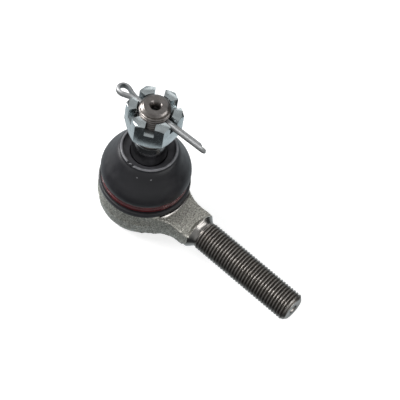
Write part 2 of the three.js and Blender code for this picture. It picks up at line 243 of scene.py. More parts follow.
def along_x(obj):
    """Turns what was made along Z so that it lies along X."""
    obj.data.transform(Matrix.Rotation(math.pi / 2, 4, "Y"))
    return obj


def baked(obj):
    """Applies the object's modifiers to its mesh."""
    graph = bpy.context.evaluated_depsgraph_get()
    mesh = bpy.data.meshes.new_from_object(obj.evaluated_get(graph), preserve_all_data_layers=True,
                                           depsgraph=graph)
    obj.modifiers.clear()
    obj.data = mesh


def combine(obj, tool, operation):
    """Joins, cuts or intersects obj with tool, and removes tool."""
    modifier = obj.modifiers.new("combine", "BOOLEAN")
    modifier.operation = operation
    modifier.solver = "MANIFOLD"
    modifier.object = tool
    baked(obj)
    bpy.data.objects.remove(tool)


def coat(obj, materials, index=0):
    """Gives obj the materials, with every face on the one at index."""
    obj.data.materials.clear()
    for material in materials:
        obj.data.materials.append(material)
    obj.data.polygons.foreach_set("material_index", np.full(len(obj.data.polygons), index, np.int32))
    return obj


def place(obj, body, node, sharp_deg=34, turn=0.0):
    """Puts a finished shape in the row frame, on its body, in place of its CAD node."""
    matrix = Matrix.Scale(MM, 4) @ Matrix.Translation((0, 0, AXIS_Z)) @ Matrix.Rotation(turn, 4, "Z")
    obj.data.transform(matrix)
    obj.data.polygons.foreach_set("use_smooth", np.ones(len(obj.data.polygons), bool))
    obj.data.set_sharp_from_angle(angle=math.radians(sharp_deg))
    if body:
        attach(obj, body)
    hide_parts(node)


def soften_edges(obj, width):
    """Rounds every edge sharper than 30 degrees."""
    bevel = obj.modifiers.new("soften", "BEVEL")
    bevel.width = width
    bevel.segments = 2
    bevel.limit_method = "ANGLE"
    bevel.angle_limit = math.radians(30)
    baked(obj)


def thread_cut(heights, angles):
    """Depth of a right-hand thread at each place, from 0 on the crest to 1 in the root."""
    crest, root = 0.08, 0.05
    phase = (heights / PITCH - angles / (2 * np.pi)) % 1.0
    slope = np.abs(2 * phase - 1)
    depth = np.clip((slope - crest) / (1 - crest - root), 0, 1)
    return depth * depth * (3 - 2 * depth)


# ---------------------------------------------------------------------------
# Materials
# ---------------------------------------------------------------------------

class Surface:
    """A Principled material. Noise drives its colour, roughness and bump over the plain values."""

    def __init__(self, name, color, roughness, metallic=0.0, **sockets):
        self.material = bpy.data.materials.new(name)
        self.material.use_nodes = True
        self.nodes = self.material.node_tree.nodes
        self.links = self.material.node_tree.links
        self.shader = self.nodes["Principled BSDF"]
        self.coordinates = self.nodes.new("ShaderNodeTexCoord")
        self.bump_from = None
        self.shader.inputs["Base Color"].default_value = (*color, 1)
        self.shader.inputs["Roughness"].default_value = roughness
        self.shader.inputs["Metallic"].default_value = metallic
        for socket, value in sockets.items():
            self.shader.inputs[socket.replace("_", " ").title()].default_value = value

    def noise(self, size_mm, detail=3.0, stretch=(1, 1, 1)):
        """Noise with features of about size_mm, from 0 to 1."""
        mapping = self.nodes.new("ShaderNodeMapping")
        mapping.inputs["Scale"].default_value = stretch
        texture = self.nodes.new("ShaderNodeTexNoise")
        texture.inputs["Scale"].default_value = 1 / (size_mm * MM)
        texture.inputs["Detail"].default_value = detail
        self.links.new(self.coordinates.outputs["Object"], mapping.inputs["Vector"])
        self.links.new(mapping.outputs["Vector"], texture.inputs["Vector"])
        return texture.outputs["Fac"]

    def cells(self, size_mm):
        """Distance to the nearest of scattered points about size_mm apart."""
        texture = self.nodes.new("ShaderNodeTexVoronoi")
        texture.inputs["Scale"].default_value = 1 / (size_mm * MM)
        self.links.new(self.coordinates.outputs["Object"], texture.inputs["Vector"])
        return texture.outputs["Distance"]

    def spread(self, value, low, high, to_low, to_high):
        """Stretches a value between two limits."""
        node = self.nodes.new("ShaderNodeMapRange")
        limits = {"From Min": low, "From Max": high, "To Min": to_low, "To Max": to_high}
        for socket, number in limits.items():
            node.inputs[socket].default_value = number
        self.links.new(value, node.inputs["Value"])
        return node.outputs["Result"]

    def colors(self, value, *stops):
        """Base colour from a value, by (position, colour) stops."""
        ramp = self.nodes.new("ShaderNodeValToRGB")
        elements = ramp.color_ramp.elements
        while len(elements) < len(stops):
            elements.new(0.5)
        for element, (position, color) in zip(elements, stops):
            element.position = position
            element.color = (*color, 1)
        self.links.new(value, ramp.inputs["Fac"])
        self.links.new(ramp.outputs["Color"], self.shader.inputs["Base Color"])
        return self

    def roughness(self, value, low, high):
        """Roughness from a noise value, between two limits."""
        self.links.new(self.spread(value, 0.3, 0.7, low, high), self.shader.inputs["Roughness"])
        return self

    def bump(self, value, height_mm):
        """Adds one layer of bump to those before it."""
        node = self.nodes.new("ShaderNodeBump")
        node.inputs["Strength"].default_value = 1.0
        node.inputs["Distance"].default_value = height_mm * MM
        self.links.new(value, node.inputs["Height"])
        if self.bump_from:
            self.links.new(self.bump_from, node.inputs["Normal"])
        self.bump_from = node.outputs["Normal"]
        self.links.new(self.bump_from, self.shader.inputs["Normal"])
        return self


def forged_steel():
    """Shot-blasted skin of the forging."""
    s = Surface("forged_steel", (0.4, 0.38, 0.35), 0.45, 0.9)
    grain = s.noise(0.6, 3)
    s.colors(grain, (0.33, (0.22, 0.213, 0.19)), (0.5, (0.45, 0.44, 0.395)), (0.67, (0.72, 0.71, 0.655)))
    s.roughness(s.noise(5.0, 4), 0.36, 0.48)
    s.bump(grain, 0.42)
    return s.bump(s.cells(0.9), 0.16).material


def machined_steel():
    """Turned faces of the housing."""
    s = Surface("machined_steel", (0.3, 0.285, 0.27), 0.23, 1.0)
    s.colors(s.noise(3.0), (0.3, (0.24, 0.23, 0.218)), (0.7, (0.34, 0.325, 0.31)))
    s.roughness(s.noise(1.5), 0.2, 0.27)
    return s.bump(s.noise(0.25, 2, stretch=(1, 0.02, 0.02)), 0.01).material


def threaded_steel():
    """Crests and flanks of the shank's thread."""
    s = Surface("threaded_steel", (0.33, 0.31, 0.29), 0.3, 1.0)
    s.colors(s.noise(2.0, 3), (0.3, (0.25, 0.232, 0.214)), (0.7, (0.34, 0.322, 0.304)))
    s.roughness(s.noise(0.8), 0.26, 0.36)
    return s.bump(s.noise(0.15, 2), 0.006).material


def thread_root_shade():
    """Painted shade in the bottom of a thread: the roots are made darker than the crests."""
    s = Surface("thread_root_shade", (0.1, 0.09, 0.08), 0.5, 1.0)
    s.colors(s.noise(1.0, 3), (0.3, (0.08, 0.07, 0.062)), (0.7, (0.13, 0.118, 0.106)))
    return s.bump(s.noise(0.2, 2), 0.01).material


def ground_steel():
    """The stud's ground neck and taper."""
    s = Surface("ground_steel", (0.3, 0.3, 0.3), 0.2, 1.0)
    s.colors(s.noise(3.0), (0.3, (0.25, 0.25, 0.255)), (0.7, (0.35, 0.348, 0.35)))
    s.roughness(s.noise(1.5), 0.16, 0.24)
    return s.bump(s.noise(0.25, 2, stretch=(0.1, 0.1, 1)), 0.004).material


def stud_steel():
    """The stud's thread and end."""
    s = Surface("stud_steel", (0.24, 0.22, 0.21), 0.3, 1.0)
    s.colors(s.noise(2.0, 3), (0.3, (0.19, 0.173, 0.165)), (0.7, (0.265, 0.246, 0.235)))
    s.roughness(s.noise(0.8), 0.27, 0.36)
    return s.bump(s.noise(0.2, 2, stretch=(0.1, 0.1, 1)), 0.005).material


def zinc(name, rough_low, rough_high, tint):
    """Zinc plate of a tint, uneven in brightness and gloss."""
    s = Surface(name, (0.6, 0.66, 0.68), rough_low, 1.0)
    dull, bright = ([0.74 * t for t in tint], [0.94 * t for t in tint])
    s.colors(s.noise(2.5, 4), (0.3, dull), (0.7, bright))
    s.roughness(s.noise(0.9), rough_low, rough_high)
    return s.bump(s.noise(0.35, 3), 0.01).material


def spring_steel():
    """The disc spring and the boot's wire ring."""
    s = Surface("spring_steel", (0.2, 0.205, 0.22), 0.35, 1.0)
    s.colors(s.noise(1.0), (0.3, (0.14, 0.145, 0.16)), (0.7, (0.27, 0.27, 0.28)))
    return s.bump(s.noise(0.2), 0.01).material


def pressed_steel():
    """The cover and the pressure plate."""
    s = Surface("pressed_steel", (0.45, 0.44, 0.42), 0.4, 1.0)
    s.colors(s.noise(2.5, 4), (0.3, (0.36, 0.35, 0.335)), (0.7, (0.52, 0.51, 0.49)))
    s.roughness(s.noise(1.2), 0.32, 0.46)
    return s.bump(s.noise(0.3, 3), 0.02).material


def boot_rubber():
    """The boot's moulded skin."""
    s = Surface("boot_rubber", (0.015, 0.015, 0.018), 0.42)
    s.colors(s.noise(6.0, 4), (0.3, (0.012, 0.012, 0.0145)), (0.7, (0.02, 0.0195, 0.0235)))
    s.roughness(s.noise(3.0), 0.36, 0.48)
    return s.bump(s.noise(0.3, 3), 0.015).material


def worn_and_highlit_rubber():
    """The boot's rim, lighter partly from wear and partly as a painted highlight along its top."""
    s = Surface("worn_and_highlit_rubber", (0.13, 0.13, 0.14), 0.4)
    s.colors(s.noise(2.5, 4), (0.3, (0.13, 0.13, 0.14)), (0.65, (0.26, 0.26, 0.276)))
    return s.bump(s.noise(0.3, 3), 0.02).material


def funnel_painted_light():
    """The funnel inside the boot's rim, made lighter as painted light where the nut shades it."""
    s = Surface("funnel_painted_light", (0.06, 0.06, 0.066), 0.6)
    s.colors(s.noise(3.0, 4), (0.3, (0.045, 0.045, 0.05)), (0.7, (0.075, 0.074, 0.082)))
    return s.bump(s.noise(0.3, 3), 0.015).material


def red_lacquer():
    """The clamp ring's gloss lacquer."""
    s = Surface("red_lacquer", (0.09, 0.008, 0.012), 0.22, coat_weight=0.6, coat_roughness=0.12)
    s.colors(s.noise(3.0), (0.3, (0.06, 0.006, 0.009)), (0.7, (0.12, 0.012, 0.016)))
    return s.bump(s.noise(0.6), 0.012).material


def acetal():
    """The ball seats."""
    s = Surface("acetal", (0.76, 0.73, 0.66), 0.42)
    s.colors(s.noise(4.0), (0.3, (0.72, 0.69, 0.61)), (0.7, (0.8, 0.77, 0.7)))
    return s.bump(s.noise(0.4), 0.01).material


FORGED = forged_steel()
MACHINED = machined_steel()
THREADED = threaded_steel()
# Painted shade for the bottom of the threads.
THREAD_ROOT_SHADE = thread_root_shade()
STUD = stud_steel()
GROUND = ground_steel()
ZINC = zinc("zinc_plate", 0.16, 0.24, (0.62, 0.675, 0.69))
PIN_ZINC = zinc("pin_zinc", 0.44, 0.54, (0.47, 0.475, 0.48))
SPRING = spring_steel()
PRESSED = pressed_steel()
RUBBER = boot_rubber()
# Lighter rubber for the rim's top: wear and a painted highlight.
RIM_WEAR_AND_HIGHLIGHT = worn_and_highlit_rubber()
# Lighter rubber for the funnel: painted light lifting the shade there.
FUNNEL_PAINTED_LIGHT = funnel_painted_light()
RED = red_lacquer()
ACETAL = acetal()
HOUSING_COATS = (FORGED, MACHINED, THREADED, THREAD_ROOT_SHADE)
STUD_COATS = (STUD, GROUND, THREAD_ROOT_SHADE)
BOOT_COATS = (RUBBER, RIM_WEAR_AND_HIGHLIGHT, FUNNEL_PAINTED_LIGHT)

# ---------------------------------------------------------------------------
# Housing
# ---------------------------------------------------------------------------


def shoulder_profile():
    """Turned surface at the neck's end, as (radius, x), from the collar down to the blank."""
    return smooth_line([(COLLAR_R, COLLAR_X - 1.0), (COLLAR_R, COLLAR_X + 0.7), (8.35, 34.5), (7.4, 35.5),
                        (6.75, 36.3), (BLANK_R + 0.04, 37.1)], 6)


def neck_section(x, angles):
    """Distance from the shank's axis to the forging's skin, at a station along X."""
    sweep_y = NECK_HALF_W + NECK_SWEEP_R
    sweep_x = math.sqrt((EYE_R + NECK_SWEEP_R) ** 2 - sweep_y ** 2)
    away = min(max(sweep_x - x, 0), 0.8 * NECK_SWEEP_R)
    half = sweep_y - math.sqrt(NECK_SWEEP_R ** 2 - away ** 2)
    from_end = min(max(NECK_END_X - x, 0), 15.0)
    top, draft = 3.3, 0.5
    low = -5.2 - 0.0213 * from_end ** 2          # the underside falls away towards the eye
    part = -1.4 - 0.08 * from_end
    corners = [(half, top), (half + draft, part), (half + 0.1, low), (-half - 0.1, low),
               (-half - draft, part), (-half, top)]
    reach = np.full(len(angles), np.inf)
    ray = np.stack((np.cos(angles), np.sin(angles)))
    for (y0, z0), (y1, z1) in zip(corners, corners[1:] + corners[:1]):
        normal = np.array((z0 - z1, y1 - y0))
        if normal @ (y0, z0) < 0:
            normal = -normal
        facing = normal @ ray
        with np.errstate(divide="ignore"):
            reach = np.where(facing > 1e-9, np.minimum(reach, normal @ (y0, z0) / facing), reach)
    round_from_x, round_to_x, round_r = 29.8, 34.2, 8.45
    rise = np.clip((x - round_from_x) / (round_to_x - round_from_x), 0, 1)
    return np.maximum(reach, round_r * rise * rise * (3 - 2 * rise))


def roughen(obj, amount, size):
    """Moves each vertex along its normal by smooth noise."""
    count = len(obj.data.vertices)
    places, normals = np.zeros(count * 3), np.zeros(count * 3)
    obj.data.vertices.foreach_get("co", places)
    obj.data.vertices.foreach_get("normal", normals)
    heights = np.array([noise.noise(Vector(p) / size) for p in places.reshape(-1, 3)])
    places += (normals.reshape(-1, 3) * amount * heights[:, None]).ravel()
    obj.data.vertices.foreach_set("co", places)


def forging():
    """Eye and neck as they leave the die: one blended skin with a trimmed flash line."""
    facets, stations, neck_from_x, neck_to_x = 96, 90, 2.0, 37.0
    eye = turned("housing", rounded([
        (0, HOUSING_LOW_Z, 0), (16.2, HOUSING_LOW_Z, 1.2), (18.1, -12.6, 1.5), (19.8, -9.0, 4),
        (20.25, PARTING_Z - 0.7, 0.3), (20.75, PARTING_Z - 0.4, 0.1), (20.75, PARTING_Z + 0.4, 0.1),
        (20.5, PARTING_Z + 0.7, 0.3), (20.05, EYE_TOP_Z, 0.4), (0, EYE_TOP_Z, 0),
    ]))
    angles = np.arange(facets) * 2 * np.pi / facets
    rings = []
    for x in np.linspace(neck_from_x, neck_to_x, stations):
        reach = neck_section(x, angles)
        rings.append(np.stack((np.full(facets, x), reach * np.cos(angles), reach * np.sin(angles)), 1))
    combine(eye, skin("neck", rings, "flat"), "UNION")
    remesh = eye.modifiers.new("blend", "REMESH")
    remesh.mode = "VOXEL"
    remesh.voxel_size = 0.36
    smooth = eye.modifiers.new("smooth", "SMOOTH")
    smooth.factor = 0.5
    smooth.iterations = 3
    baked(eye)
    roughen(eye, amount=0.16, size=3.0)
    roughen(eye, amount=0.07, size=0.9)
    return coat(eye, HOUSING_COATS, HOUSING_COATS.index(FORGED))


def paint_root_shade(obj, low, high, index):
    """Gives the roots of an outside thread, between two heights, another material: the darker painted root
    shade.
    """
    least_r, least_depth = 5, 0.55
    for face in obj.data.polygons:
        x, y, z = face.center
        if low < z < high and math.hypot(x, y) > least_r and thread_cut(z, math.atan2(y, x)) > least_depth:
            face.material_index = index


def shank():
    """Turned blank with its rolled thread, chamfer and centre drilling."""
    chamfer, cut_run, crest_run = 1.6, 1.6, 0.8
    tip_r = SHANK_R - chamfer
    rows = np.arange(THREAD_X, TIP_X - 0.01, PITCH / 12)

    def radius(radii, heights, angles):
        cut = thread_cut(heights, angles) * np.clip((heights - THREAD_X) / cut_run, 0, 1)
        crest = BLANK_R + (SHANK_R - BLANK_R) * np.clip((heights - THREAD_X) / crest_run, 0, 1)
        inner = radii < SHANK_R - 0.01
        chamfered = np.minimum(crest - THREAD_DEPTH * cut, tip_r + (TIP_X - heights))
        return np.where(inner, radii, chamfered)

    profile = outline_of(
        [(0, 33.5), (5.0, 33.5), (BLANK_R - 0.02, 35.6), (BLANK_R, 37.0)],
        np.stack((np.full(len(rows), SHANK_R), rows), 1),
        [(tip_r, TIP_X), (2.5, TIP_X), (2.3, TIP_X - 0.12), (1.1, TIP_X - 2.1),
         (1.1, TIP_X - 4.0), (0, TIP_X - 4.5)],
    )
    blank = coat(turned("shank", profile, 112, radius=radius), HOUSING_COATS, HOUSING_COATS.index(THREADED))
    # Painted shade: the shank's thread roots get the darker root material.
    paint_root_shade(blank, THREAD_X + 0.8, TIP_X - 0.3, HOUSING_COATS.index(THREAD_ROOT_SHADE))
    return along_x(blank)


def pocket():
    """The hollow of the eye, from the crimped lip up through the throat."""
    lip_z, lip_r, crimp_z, throat_r = 7.5, 11.3, -14.7, 12.9
    lip_deg = math.degrees(math.asin((lip_z - BALL_Z) / BORE_R))
    profile = outline_of(
        [(0, HOUSING_LOW_Z - 2), (13.4, HOUSING_LOW_Z - 2), (12.9, HOUSING_LOW_Z + 0.1),
         (12.5, HOUSING_LOW_Z + 0.35), (12.5, crimp_z), (BORE_R, crimp_z)],
        arc((0, BALL_Z), BORE_R, 0, lip_deg, 10),
        [(lip_r, lip_z), (throat_r, BOSS_TOP_Z + 0.02), (throat_r, BOSS_TOP_Z + 2), (0, BOSS_TOP_Z + 2)],
    )
    return turned("pocket", profile)


def build_housing():
    """The forging with its turned boss, ledge and shoulder, its shank and its pocket."""

    def machined(obj):
        return coat(obj, HOUSING_COATS, HOUSING_COATS.index(MACHINED))

    housing = forging()
    boss = turned("boss", rounded([
        (0, 0, 0), (BOSS_R, 0, 0), (BOSS_R, BOSS_TOP_Z, 0.5), (0, BOSS_TOP_Z, 0)]))
    combine(housing, machined(boss), "UNION")
    ledge_r, cutter_r = 21.5, 16
    ledge = turned("ledge", [
        (0, -2), (ledge_r, -2), (ledge_r, EYE_TOP_Z - 0.55), (ledge_r - 0.5, EYE_TOP_Z), (0, EYE_TOP_Z)])
    combine(ledge, slab((14, 19.0, 12), (17, 0, 0)), "INTERSECT")
    combine(housing, machined(ledge), "UNION")
    cutter = turned("cutter", outline_of(
        shoulder_profile(),
        [(cutter_r, 37.1), (cutter_r, 37.3), (cutter_r, COLLAR_X - 1.0)]), ends="loop")
    combine(housing, machined(along_x(cutter)), "DIFFERENCE")
    combine(housing, shank(), "UNION")
    combine(housing, machined(pocket()), "DIFFERENCE")
    place(housing, "housing", "housing", sharp_deg=40)


# ---------------------------------------------------------------------------
# Ball stud
# ---------------------------------------------------------------------------

def taper_radius(z):
    """Radius of the stud's taper at a height."""
    return np.interp(z, (TAPER_LOW_Z, TAPER_TOP_Z), (TAPER_LOW_R, TAPER_TOP_R))


def build_stud():
    """Ball, neck, taper and thread turned in one piece, with a cross hole for the pin."""
    neck_r, chamfer, undercut, cut_run = 7.6, 1.8, 0.8, 1.6
    neck_deg = math.degrees(math.acos(neck_r / BALL_R))
    thread_from = TAPER_TOP_Z + undercut
    rows = np.arange(thread_from, STUD_TOP_Z - 0.01, PITCH / 12)
    top_r = STUD_R - chamfer

    def radius(radii, heights, angles):
        cut = thread_cut(heights, angles) * np.clip((heights - thread_from) / cut_run, 0, 1)
        threaded = np.minimum(STUD_R - THREAD_DEPTH * cut, top_r + (STUD_TOP_Z - heights))
        return np.where(np.abs(radii - STUD_R) < 1e-6, threaded, radii)

    profile = outline_of(
        arc((0, BALL_Z), BALL_R, -90, neck_deg, 40),
        rounded([(neck_r, 11.5, 0), (neck_r, 20.0, 3), (TAPER_LOW_R, TAPER_LOW_Z, 1.2),
                 (TAPER_TOP_R, TAPER_TOP_Z, 0.1), (6.35, TAPER_TOP_Z + 0.3, 0)]),
        np.stack((np.full(len(rows), STUD_R), rows), 1),
        [(top_r, STUD_TOP_Z), (2.75, STUD_TOP_Z), (2.6, STUD_TOP_Z - 0.12), (1.25, STUD_TOP_Z - 2.4),
         (1.25, STUD_TOP_Z - 4.4), (0, STUD_TOP_Z - 5.0)],
    )
    stud = coat(turned("ball_stud_fine", profile, 112, radius=radius), STUD_COATS)
    for face in stud.data.polygons:
        if face.center.z < TAPER_TOP_Z + 0.2:
            face.material_index = STUD_COATS.index(GROUND)
    # Painted shade: the stud's thread roots get the darker root material.
    paint_root_shade(stud, TAPER_TOP_Z + 1.5, STUD_TOP_Z - 0.3, STUD_COATS.index(THREAD_ROOT_SHADE))
    hole = along_x(turned("hole", [(0, -9), (PIN_HOLE_R, -9), (PIN_HOLE_R, 9), (0, 9)], 48))
    hole.data.transform(Matrix.Translation((0, 0, PIN_Z)))
    combine(stud, coat(hole, STUD_COATS), "DIFFERENCE")
    place(stud, "stud", "ball_stud", turn=STUD_TURN)


# ---------------------------------------------------------------------------
# Castle nut
# ---------------------------------------------------------------------------

def hexagon_prism(flats, low, high):
    """A hexagon bar between two heights, with flats square to the X axis."""
    corner = flats / math.sqrt(3)
    angles = (np.arange(6) + 0.5) * math.pi / 3
    ring = np.stack((corner * np.cos(angles), corner * np.sin(angles)), 1)
    rings = [[(x, y, z) for x, y in ring] for z in (low, high)]
    return skin("castle_nut_fine", rings, "flat")


def slab(size, centre, turn=0.0):
    """A box, turned about Z."""
    corners = ((-1, -1), (1, -1), (1, 1), (-1, 1))
    half = np.array(size) / 2
    rings = [[centre + half * (*corner, side) for corner in corners] for side in (-1, 1)]
    box = skin("slab", rings, "flat")
    box.data.transform(Matrix.Rotation(turn, 4, "Z"))
    return box


def build_nut():
    """Bevelled hexagon with three slots cut right across it, and a threaded bore."""
    low, high = cad_box("castle_nut")[0][2], cad_box("castle_nut")[1][2]
    corner = NUT_FLATS / math.sqrt(3)
    slot_width, slot_floor, slot_length = 4.3, 54.2, 40
    root_r, tap_depth = 7.9, 0.85
    nut = hexagon_prism(NUT_FLATS, low, high)
    bevelled = turned("bevel", [
        (0, low - 0.01), (11.0, low - 0.01), (corner + 0.4, low + 2.4), (corner + 0.4, high - 0.95),
        (11.5, high + 0.01), (0, high + 0.01)], 192)
    combine(nut, bevelled, "INTERSECT")
    for i in range(3):
        height = high - slot_floor + 2
        cut = slab((slot_length, slot_width, height), (0, 0, slot_floor + height / 2), i * math.pi / 3)
        combine(nut, cut, "DIFFERENCE")
    bore = turned("bore", [
        (0, low - 1), (8.3, low - 1), (7.2, low + 0.9), (7.2, high - 0.9), (8.0, high + 0.1),
        (8.0, high + 1), (0, high + 1)], 96)
    combine(nut, bore, "DIFFERENCE")
    soften_edges(nut, 0.22)
    rows = np.arange(low - 1, high + 1, PITCH / 8)

    def radius(radii, heights, angles):
        return root_r - tap_depth * thread_cut(heights + PITCH / 2, angles)

    profile = outline_of([(0, rows[0])], np.stack((np.full(len(rows), root_r), rows), 1), [(0, rows[-1])])
    combine(nut, turned("tap", profile, 96, radius=radius), "DIFFERENCE")
    coat(nut, (ZINC, ))
    place(nut, "stud", "castle_nut", sharp_deg=30, turn=NUT_TURN)


# ---------------------------------------------------------------------------
# Cotter pin
# ---------------------------------------------------------------------------

def build_pin():
    """Half-round wire, flat side in, folded into an eye with two legs of unequal length."""
    low, high = cad_box("cotter_pin")
    far_x, long_x = low[0] / math.cos(STUD_TURN), high[0] / math.cos(STUD_TURN)
    short_x, throat_x = long_x - 3.0, -10.6
    inner, gap = 1.8, 0.03             # half the eye's opening, and half the gap between the legs
    turn_x = far_x + PIN_R + inner
    side = smooth_line([(-11.0, gap), (-12.4, 0.3), (-14.4, 0.95), (turn_x + 1.0, inner + 0.02)], 8)
    bend = arc((turn_x, 0), inner, 90, 270, 18)
    path = outline_of(
        np.stack((np.linspace(short_x, throat_x, 60), np.full(60, gap)), 1),
        side, bend, side[::-1] * (1, -1),
        np.stack((np.linspace(throat_x, long_x, 64), np.full(64, -gap)), 1),
    )
    ahead = np.gradient(path, axis=0)
    ahead /= np.linalg.norm(ahead, axis=1)[:, None]
    outward = np.stack((ahead[:, 1], -ahead[:, 0]), 1)
    turns = np.radians(np.linspace(-90, 90, 17))
    section = np.concatenate((np.stack((PIN_R * np.cos(turns), PIN_R * np.sin(turns)), 1),
                              [(0, 0.7), (0, 0), (0, -0.7)]))
    end_sizes = (0.72, 0.9, 1.0)       # the cut ends are rounded over
    rings = []
    for i, (point, out) in enumerate(zip(path, outward)):
        from_end = min(i, len(path) - 1 - i)
        size = end_sizes[min(from_end, 2)]
        rings.append([(*(point + out * across * size), up * size) for across, up in section])
    pin = skin("cotter_pin_fine", rings, "flat")
    pin.data.transform(Matrix.Translation((0, 0, PIN_Z)))
    coat(pin, (PIN_ZINC, ))
    place(pin, "cotter_pin", "cotter_pin", sharp_deg=50, turn=STUD_TURN)


# ---------------------------------------------------------------------------
# Dust boot and its rings
# ---------------------------------------------------------------------------

def boot_outside():
    """The boot's outer wall as (radius, height), from the belly up to the rim."""
    return smooth_line([
        (20.4, 13.4), (20.3, 15.0), (19.75, 17.2), (18.75, 19.4), (17.25, 22.0), (15.6, 25.0),
        (14.05, 28.0), (13.05, 29.3)], 6)


def nick_rim(boot):
    """Presses two small nicks into the boot's rim."""
    rim_low_z, depth, width_deg, places_deg = 29.3, 0.9, 3.2, (-94, -84)
    for vertex in boot.data.vertices:
        x, y, z = vertex.co
        if z > rim_low_z:
            turn = math.degrees(math.atan2(y, x))
            vertex.co.z -= depth * sum(math.exp(-((turn - at) / width_deg) ** 2) for at in places_deg)


def add_pips(boot):
    """Two mould pips on the dome."""
    pip_r, pip_z, dome_r = 0.33, 26.6, 14.75
    for azimuth_deg in (-43, -67):
        pip = turned("pip", arc((0, 0), pip_r, -90, 90, 8), 16)
        around = Matrix.Rotation(math.radians(azimuth_deg), 4, "Z")
        pip.data.transform(around @ Matrix.Translation((dome_r, 0, pip_z)))
        combine(boot, coat(pip, BOOT_COATS, BOOT_COATS.index(RIM_WEAR_AND_HIGHLIGHT)), "UNION")


def build_boot():
    """Foot, groove for the clamp ring, dome, rim and funnel, with a lip on the stud's taper."""
    foot_r, foot_z, foot_top = 20.78, 4.5, 7.1
    groove_r, groove_top, inner_r = 18.3, 12.1, 17.1
    lip_low, lip_high, wall, funnel_r = 23.4, 27.6, 1.8, 11.7
    outside = boot_outside()
    along = np.gradient(outside, axis=0)
    along /= np.linalg.norm(along, axis=1)[:, None]
    inside = outside + wall * np.stack((-along[:, 1], along[:, 0]), 1)
    keep = (inside[:, 1] > BOSS_TOP_Z + 1.2) & (inside[:, 1] < lip_high - 0.6)
    profile = outline_of(
        rounded([
            (inner_r, foot_z, 0), (foot_r, foot_z, 0.45), (foot_r, foot_top, 0.9),
            (groove_r, foot_top, 0.25), (groove_r, groove_top, 0.25), (20.1, groove_top, 0.5),
            (20.4, 13.3, 0)]),
        outside[1:],
        rounded([
            (12.9, 29.6, 0), (12.85, 30.2, 0.3), (12.4, 30.75, 0.3), (11.85, 30.6, 0.25),
            (11.6, 29.7, 0.3), (11.3, 28.7, 0.5), (10.6, 28.35, 0.5),
            (taper_radius(lip_high) + 0.2, lip_high, 0.25), (taper_radius(lip_low) + 0.2, lip_low, 0.2),
            (10.4, lip_low, 0.3), (10.4, lip_high - 0.9, 0.4), (11.2, lip_high - 0.6, 0)]),
        inside[keep][::-1],
        [(inner_r + 0.1, BOSS_TOP_Z + 0.6), (inner_r, BOSS_TOP_Z)],
    )

    def radius(radii, heights, angles):
        """A moulding seam round the belly, and a slight unevenness."""
        seam = 0.1 * np.exp(-((heights - SEAM_Z) / 0.14) ** 2) * (radii > 19)
        uneven = 0.05 * np.sin(3 * angles + 0.7) * np.clip((heights - 13) / 8, 0, 1) * (radii > 12.5)
        return radii + seam + uneven

    boot = turned("dust_boot_fine", profile, 192, ends="loop", radius=radius)
    nick_rim(boot)
    coat(boot, BOOT_COATS)
    for face in boot.data.polygons:
        x, y, z = face.center
        # Wear and painted highlight: the rim's top faces get the lighter rubber.
        if z > RIM_Z:
            face.material_index = BOOT_COATS.index(RIM_WEAR_AND_HIGHLIGHT)
        # Painted light: the funnel faces get a lighter rubber to lift the shade there.
        elif z > lip_low and math.hypot(x, y) < funnel_r:
            face.material_index = BOOT_COATS.index(FUNNEL_PAINTED_LIGHT)
    add_pips(boot)
    place(boot, None, "dust_boot", sharp_deg=50)
    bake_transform(boot)


def build_clamp_ring():
    """Band with a rounded rib round its middle and a bead at each edge."""
    outer, low, high = ring_of("boot_clamp_ring")
    middle = (low + high) / 2
    profile = rounded([
        (18.6, low, 0.2), (19.35, low, 0.45), (19.75, low + 0.7, 0.3), (19.45, middle - 0.35, 0.25),
        (outer - 0.1, middle, 0.5), (19.45, middle + 0.35, 0.25), (19.75, high - 0.7, 0.3),
        (19.35, high, 0.45), (18.6, high, 0.2)], closed=True, steps=5)
    ring = turned("boot_clamp_ring_fine", profile, 192, ends="loop")
    coat(ring, (RED, ))
    place(ring, "housing", "boot_clamp_ring")


def build_neck_ring():
    """Closed wire ring round the boot's lip."""
    outer, low, high = ring_of("boot_neck_ring")
    wire = (high - low) / 2
    section = arc((outer - wire, low + wire), wire, 0, 345, 23)
    ring = turned("boot_neck_ring_fine", section, 128, ends="loop")
    coat(ring, (SPRING, ))
    place(ring, "boot_neck", "boot_neck_ring")


# ---------------------------------------------------------------------------
# Pieces inside the eye
# ---------------------------------------------------------------------------

def build_seat(node, low, high):
    """A seat shell between two heights from the ball's centre, with grease grooves inside."""
    gap, groove_depth = 0.3, 0.5
    outer, inner = BORE_R - gap, BALL_R + gap

    def deg(height, radius):
        return math.degrees(math.asin(height / radius))

    def radius(radii, heights, angles):
        distance = np.hypot(radii, heights - BALL_Z)
        groove = groove_depth * np.exp(-(np.sin(3 * angles) / 0.16) ** 2)
        return radii + np.where(distance < inner + 0.1, groove, 0)

    profile = outline_of(
        arc((0, BALL_Z), outer, deg(low, outer), deg(high, outer), 16),
        arc((0, BALL_Z), inner, deg(high, inner), deg(low, inner), 16),
    )
    seat = turned(node + "_fine", profile, 144, ends="loop", radius=radius)
    coat(seat, (ACETAL, ))
    place(seat, "housing", node)


def build_pressure_plate():
    """Flat ring under the lower seat."""
    outer, low, high = ring_of("pressure_plate")
    inner, edge = 7.9, 0.3
    corners = [(inner, low, edge), (outer, low, edge), (outer, high, edge), (inner, high, edge)]
    profile = rounded(corners, closed=True)
    plate = turned("pressure_plate_fine", profile, ends="loop")
    coat(plate, (PRESSED, ))
    place(plate, "housing", "pressure_plate")


